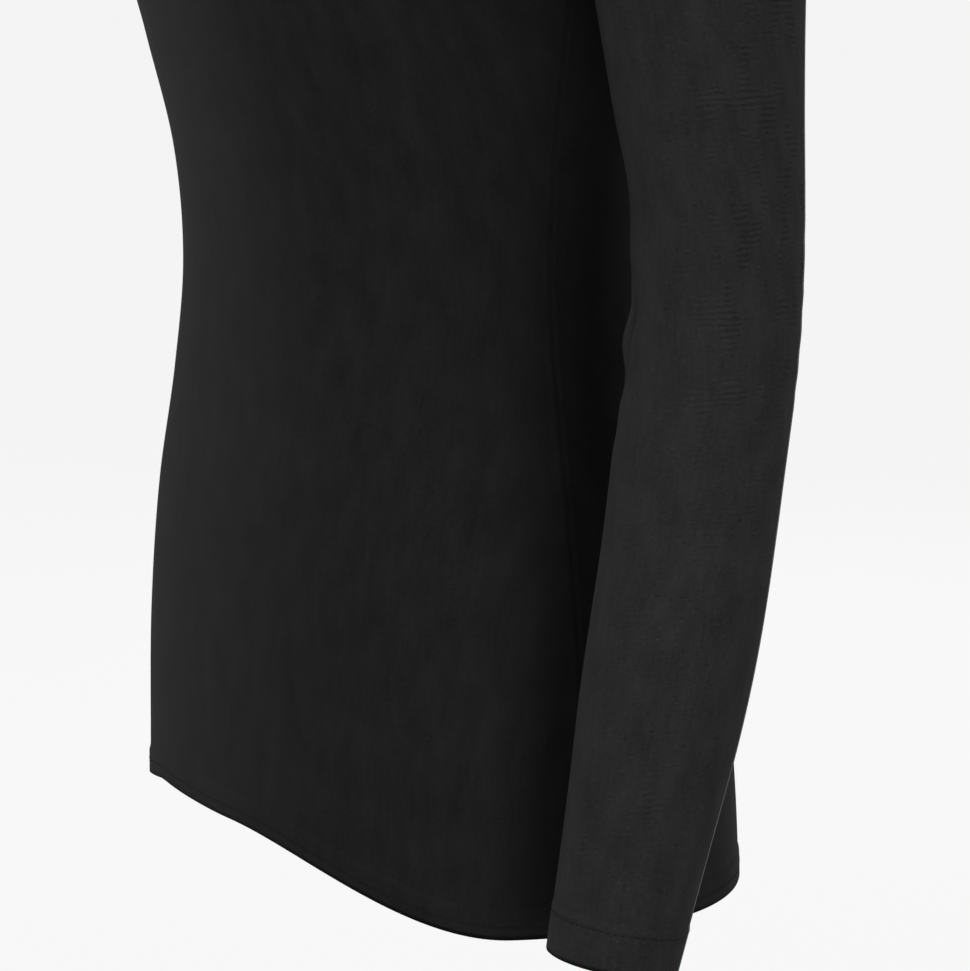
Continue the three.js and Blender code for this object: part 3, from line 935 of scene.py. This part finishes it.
def stitch_tree(name):
    """Geometry nodes that lay one stitch on every point, along "lay" and facing "out"."""
    tree = bpy.data.node_groups.new(name, "GeometryNodeTree")
    for label, way, kind in (
        ("Geometry", "INPUT", "Geometry"),
        ("Stitch length", "INPUT", "Float"),
        ("Thread thickness", "INPUT", "Float"),
        ("Thread", "INPUT", "Material"),
        ("Geometry", "OUTPUT", "Geometry"),
    ):
        tree.interface.new_socket(label, in_out=way, socket_type=f"NodeSocket{kind}")

    add = functools.partial(add_node, tree)
    given = add("NodeGroupInput").outputs
    ball = add("GeometryNodeMeshUVSphere", sockets={"Segments": 6, "Rings": 4, "Radius": 0.5})
    size = add(
        "ShaderNodeCombineXYZ",
        sockets={0: given["Thread thickness"], 1: given["Thread thickness"], 2: given["Stitch length"]},
    )
    named = {"data_type": "FLOAT_VECTOR"}
    lay = add("GeometryNodeInputNamedAttribute", named, {"Name": "lay"})
    out = add("GeometryNodeInputNamedAttribute", named, {"Name": "out"})
    laid_by = {"Vector": lay.outputs["Attribute"]}
    aligned = add("FunctionNodeAlignRotationToVector", {"axis": "Z"}, laid_by)
    turned = add(
        "FunctionNodeAlignRotationToVector",
        {"axis": "X", "pivot_axis": "Z"},
        {"Rotation": aligned.outputs["Rotation"], "Vector": out.outputs["Attribute"]},
    )
    laid = add(
        "GeometryNodeInstanceOnPoints",
        sockets={
            "Points": given["Geometry"],
            "Instance": ball.outputs["Mesh"],
            "Rotation": turned.outputs["Rotation"],
            "Scale": size.outputs[0],
        },
    )
    real = add("GeometryNodeRealizeInstances", sockets={"Geometry": laid.outputs["Instances"]})
    smooth_it = add("GeometryNodeSetShadeSmooth", sockets={"Geometry": real.outputs["Geometry"]})
    coloured = add(
        "GeometryNodeSetMaterial",
        sockets={"Geometry": smooth_it.outputs["Geometry"], "Material": given["Thread"]},
    )
    add("NodeGroupOutput", sockets={"Geometry": coloured.outputs["Geometry"]})
    return tree


def make_stitches(name, tree, lines, props, thread, spacing, length):
    """Makes the stitches along lines as one plain mesh; the spacing and length are in millimetres."""
    places, lays, outs = stitch_places(lines, spacing)
    guide = bpy.data.meshes.new(f"{name}_guide")
    guide.from_pydata((places * MM + outs * props.thickness * STITCH_LIFT).tolist(), [], [])
    for key, values in (("lay", lays), ("out", outs)):
        attribute = guide.attributes.new(key, "FLOAT_VECTOR", "POINT")
        attribute.data.foreach_set("vector", values.astype(np.float32).ravel())
    holder = add_object(f"{name}_guide", guide)
    modifier = holder.modifiers.new("Stitches", "NODES")
    modifier.node_group = tree
    values = {"Stitch length": length * MM, "Thread thickness": props.thickness, "Thread": thread}
    for item in tree.interface.items_tree:
        if item.item_type == "SOCKET" and item.in_out == "INPUT" and item.name in values:
            modifier[item.identifier] = values[item.name]
    bpy.context.view_layer.update()
    dressed = holder.evaluated_get(bpy.context.evaluated_depsgraph_get())
    mesh = bpy.data.meshes.new_from_object(dressed)
    mesh.name = name
    bpy.data.objects.remove(holder)
    for key in ("lay", "out"):
        if key in mesh.attributes:
            mesh.attributes.remove(mesh.attributes[key])
    obj = add_object(name, mesh)
    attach(obj, "root")
    return obj


def seam_lines():
    """The rows of stitches on each piece of cloth."""
    seams = {"left": SEAM_ROW, "right": SEAM_ROW, "top": SEAM_ROW}
    body, arm = {"hem": BODY_HEM["row"], **seams}, {"hem": CUFF_HEM["row"], "top": SEAM_ROW}
    rows = {"front": body, "back": body, "sleeve_left": arm, "sleeve_right": arm}
    rows["neckband"] = {"top": SEAM_ROW}
    parts = cloths()
    return {
        node: [(*parts[node].line(edge, far), parts[node].is_round) for edge, far in edges.items()]
        for node, edges in rows.items()
    }


def flatlock(cloth, column):
    """The zigzag of covering thread along a sleeve's seam, as a line of corners."""
    points, normals = cloth.outside()[1:-2, column], cloth.normals()[1:-2, column]
    walk = walk_along(points)
    stops = np.arange(0, walk[-1], FLATLOCK["step"])
    points, normals = at_stops(stops, walk, points), unit(at_stops(stops, walk, normals))
    across = unit(np.cross(np.gradient(points, axis=0), normals))
    side = FLATLOCK["width"] / 2 * (-1.0) ** np.arange(len(stops))
    return points + across * side[:, None], normals, False


def look_at(obj, target):
    obj.rotation_mode = "QUATERNION"
    obj.rotation_quaternion = (Vector(target) - obj.location).to_track_quat("-Z", "Y")


def add_light(lamp):
    data = bpy.data.lights.new(lamp.name, "AREA")
    data.shape = "RECTANGLE"
    data.size, data.size_y = lamp.width, lamp.height
    data.energy = lamp.power
    light = bpy.data.objects.new(lamp.name, data)
    light.location = around(lamp.azimuth, lamp.elevation, lamp.distance, lamp.aim)
    light.visible_camera = False
    bpy.context.scene.collection.objects.link(light)
    look_at(light, lamp.aim)


def studio(strength, backdrop):
    """A world of soft white light that is seen as a pale backdrop."""
    world = bpy.data.worlds.new("studio")
    world.use_nodes = True
    world.node_tree.nodes.clear()
    add = functools.partial(add_node, world.node_tree)
    rays = add("ShaderNodeLightPath").outputs["Is Camera Ray"]
    light, seen = (
        add("ShaderNodeBackground", sockets={"Color": WHITE, "Strength": value}).outputs[0]
        for value in (strength, backdrop)
    )
    either = add("ShaderNodeMixShader", sockets={0: rays, 1: light, 2: seen})
    add("ShaderNodeOutputWorld", sockets={"Surface": either.outputs[0]})
    return world


def around(azimuth, elevation, distance, centre):
    """The place at a bearing from a centre; azimuth 0 is in front and 90 at the wearer's left."""
    a, e = math.radians(azimuth), math.radians(elevation)
    offset = (math.sin(a) * math.cos(e), -math.cos(a) * math.cos(e), math.sin(e))
    return tuple(c + o * distance for c, o in zip(centre, offset))


# The camera's place, what it looks at and its reach: it stands by the wearer's left front
CAMERA = {"azimuth": 66, "distance": 2.4, "height": -0.060, "lens": 204.65, "sensor": 36}
CAMERA_TARGET = (0.02310, 0.01837, -0.49591)
TOP_CENTRE = (0.0, 0.0, -0.45)
ARM_CENTRE = (0.22, 0.02, -0.43)
FLOOR_REACH = 30.0

# Studio lights: what each is aimed at, its bearing, height above, distance, size and power
LAMPS = table(
    "name aim azimuth elevation distance width height power",
    ("key_light", TOP_CENTRE, -60, 20, 2.6, 1.2, 1.32, 55),
    ("front_light", TOP_CENTRE, 8, 20, 2.6, 1.2, 1.32, 44),
    ("top_light", TOP_CENTRE, 100, 70, 2.6, 1.2, 1.32, 104),
    ("arm_light", ARM_CENTRE, 80, -16, 0.6, 0.24, 0.28, 2.8),
    ("edge_light", TOP_CENTRE, 238, 22, 2.4, 0.5, 1.8, 56),
)


def colour(name, description, default):
    return bpy.props.FloatVectorProperty(
        name=name, description=description, default=default, subtype="COLOR"
    )


def length(name, description, default):
    return bpy.props.FloatProperty(name=name, description=description, default=default, unit="LENGTH")


def number(name, description, default):
    return bpy.props.FloatProperty(name=name, description=description, default=default)


class TopCloth(bpy.types.PropertyGroup):
    """The cloth's look."""

    jersey: colour("Jersey", "Colour of the jersey", (0.0070, 0.0070, 0.0071))
    # The sleeves are the same jersey as the body; their lighter colour is painted light for the extra
    # light they catch.
    sleeve_jersey_painted_light: colour("Sleeves", "Colour of the sleeves", (0.0108, 0.0108, 0.0109))
    sheen: number("Sheen", "Weight of the soft sheen", 0.010)
    gloss: number("Gloss", "Level of the plain reflection", 0.028)
    wale: length("Wale", "Width of a column of knit", 0.00062)
    course: length("Course", "Height of a row of knit", 0.00052)
    ripple: length("Ripples", "From one fine ripple to the next", 0.0025)
    crease_strength: number("Creases", "Depth of the creases, as a share of the full one", 1.0)


class TopStitching(bpy.types.PropertyGroup):
    """The sewing's sizes."""

    thread: colour("Thread", "Colour of the thread", (0.0055, 0.0055, 0.0055))
    # The flatlock seam is real; its light grey thread is painted highlight for the bright line along
    # the sleeve's back edge.
    covering_thread_painted_highlight: colour(
        "Covering thread", "Colour of the thread over the sleeves' seams", (0.11, 0.11, 0.11)
    )
    length: length("Stitch length", "Length of one stitch", 0.0024)
    spacing: length("Spacing", "From one stitch to the next", 0.0029)
    thickness: length("Thickness", "Thickness of the thread", 0.00042)


class TopStage(bpy.types.PropertyGroup):
    """The floor and light round the top."""

    floor: colour("Floor", "Colour of the floor", (0.015, 0.015, 0.015))
    glow: number("Glow", "Light that the floor gives", 0.9)
    floor_height: length("Floor height", "Height of the floor", -1.0)
    world: number("World", "Strength of the light all round", 0.02)
    backdrop: number("Backdrop", "Brightness of what lies beyond the floor", 0.91)


class TOP_OT_body(bpy.types.Operator):
    """Makes the front and back panels"""

    bl_idname = "top.body"
    bl_label = "Front and back"

    def execute(self, context):
        props = context.scene.top_cloth
        finish = jersey_finish("knitted jersey", props.jersey, GRAIN["body"], props)
        for node in ("front", "back"):
            make_cloth(node, finish)
        return {"FINISHED"}


class TOP_OT_sleeves(bpy.types.Operator):
    """Makes the two sleeves"""

    bl_idname = "top.sleeves"
    bl_label = "Sleeves"

    def execute(self, context):
        props = context.scene.top_cloth
        # The sleeves' lighter colour is painted light on the same jersey.
        finish = jersey_finish("sleeve jersey with painted light", props.sleeve_jersey_painted_light, GRAIN["sleeves"], props)
        for node in ("sleeve_left", "sleeve_right"):
            make_cloth(node, finish)
        return {"FINISHED"}


class TOP_OT_neckband(bpy.types.Operator):
    """Makes the band round the neckline"""

    bl_idname = "top.neckband"
    bl_label = "Neckband"

    def execute(self, context):
        props = context.scene.top_cloth
        finish = jersey_finish("neckband jersey", props.jersey, GRAIN["body"], props)
        make_cloth("neckband", finish)
        return {"FINISHED"}


class TOP_OT_stitching(bpy.types.Operator):
    """Makes the rows of stitches along the hems and seams"""

    bl_idname = "top.stitching"
    bl_label = "Stitching"

    def execute(self, context):
        props = context.scene.top_stitching
        thread = thread_finish("sewing thread", props.thread)
        # Painted highlight: the light covering thread stands in for the bright edge along the sleeve's
        # back, over a real flatlock seam.
        highlight_cover = thread_finish("covering thread with painted highlight", props.covering_thread_painted_highlight)
        tree = stitch_tree("Rows of stitches")
        spacing, length = props.spacing / MM, props.length / MM
        zigzag = math.hypot(FLATLOCK["width"], FLATLOCK["step"])
        for node, lines in seam_lines().items():
            sewing = [make_stitches(f"{node}_stitches", tree, lines, props, thread, spacing, length)]
            if node.startswith("sleeve"):
                seam = [flatlock(cloths()[node], 0 if node == "sleeve_left" else -1)]
                sewing.append(make_stitches(f"{node}_seam", tree, seam, props, highlight_cover, zigzag, zigzag))
        return {"FINISHED"}


class TOP_OT_stage(bpy.types.Operator):
    """Makes the camera, the pale floor and the studio light"""

    bl_idname = "top.stage"
    bl_label = "Stage"

    def execute(self, context):
        scene = context.scene
        props = scene.top_stage
        data = bpy.data.cameras.new("camera")
        data.lens, data.sensor_width = CAMERA["lens"], CAMERA["sensor"]
        camera = bpy.data.objects.new("camera", data)
        azimuth, distance = math.radians(CAMERA["azimuth"]), CAMERA["distance"]
        place = (math.sin(azimuth) * distance, -math.cos(azimuth) * distance, CAMERA["height"])
        camera.location = place
        scene.collection.objects.link(camera)
        look_at(camera, CAMERA_TARGET)
        scene.camera = camera
        floor = bpy.data.meshes.new("floor")
        corners = ((-1, -1), (1, -1), (1, 1), (-1, 1))
        corners = [(x * FLOOR_REACH, y * FLOOR_REACH, props.floor_height) for x, y in corners]
        floor.from_pydata(corners, [], [(0, 1, 2, 3)])
        add_object("floor", floor, stage_finish("floor", props.floor, props.glow))
        for lamp in LAMPS:
            add_light(lamp)
        scene.world = studio(props.world, props.backdrop)
        scene.view_settings.view_transform = "Standard"
        return {"FINISHED"}


class TOP_PT_panel(bpy.types.Panel):
    """Lists the steps that make the top"""

    bl_idname = "TOP_PT_panel"
    bl_label = "Base layer top"
    bl_space_type = "VIEW_3D"
    bl_region_type = "UI"
    bl_category = "Top"

    def draw(self, context):
        for operator in OPERATORS:
            self.layout.operator(operator.bl_idname)
        for group in ("top_cloth", "top_stitching", "top_stage"):
            props = getattr(context.scene, group)
            for name in props.__annotations__:
                self.layout.prop(props, name)


OPERATORS = (TOP_OT_stage, TOP_OT_body, TOP_OT_sleeves, TOP_OT_neckband, TOP_OT_stitching)
GROUPS = {"top_cloth": TopCloth, "top_stitching": TopStitching, "top_stage": TopStage}


def register():
    for made in (*GROUPS.values(), *OPERATORS, TOP_PT_panel):
        bpy.utils.register_class(made)
    for name, group in GROUPS.items():
        setattr(bpy.types.Scene, name, bpy.props.PointerProperty(type=group))


def unregister():
    for name in GROUPS:
        delattr(bpy.types.Scene, name)
    for made in (TOP_PT_panel, *reversed(OPERATORS), *reversed(GROUPS.values())):
        bpy.utils.unregister_class(made)


def main():
    register()
    bpy.ops.top.stage()
    bpy.ops.top.body()
    bpy.ops.top.sleeves()
    bpy.ops.top.neckband()
    bpy.ops.top.stitching()


if __name__ == "__main__":
    main()
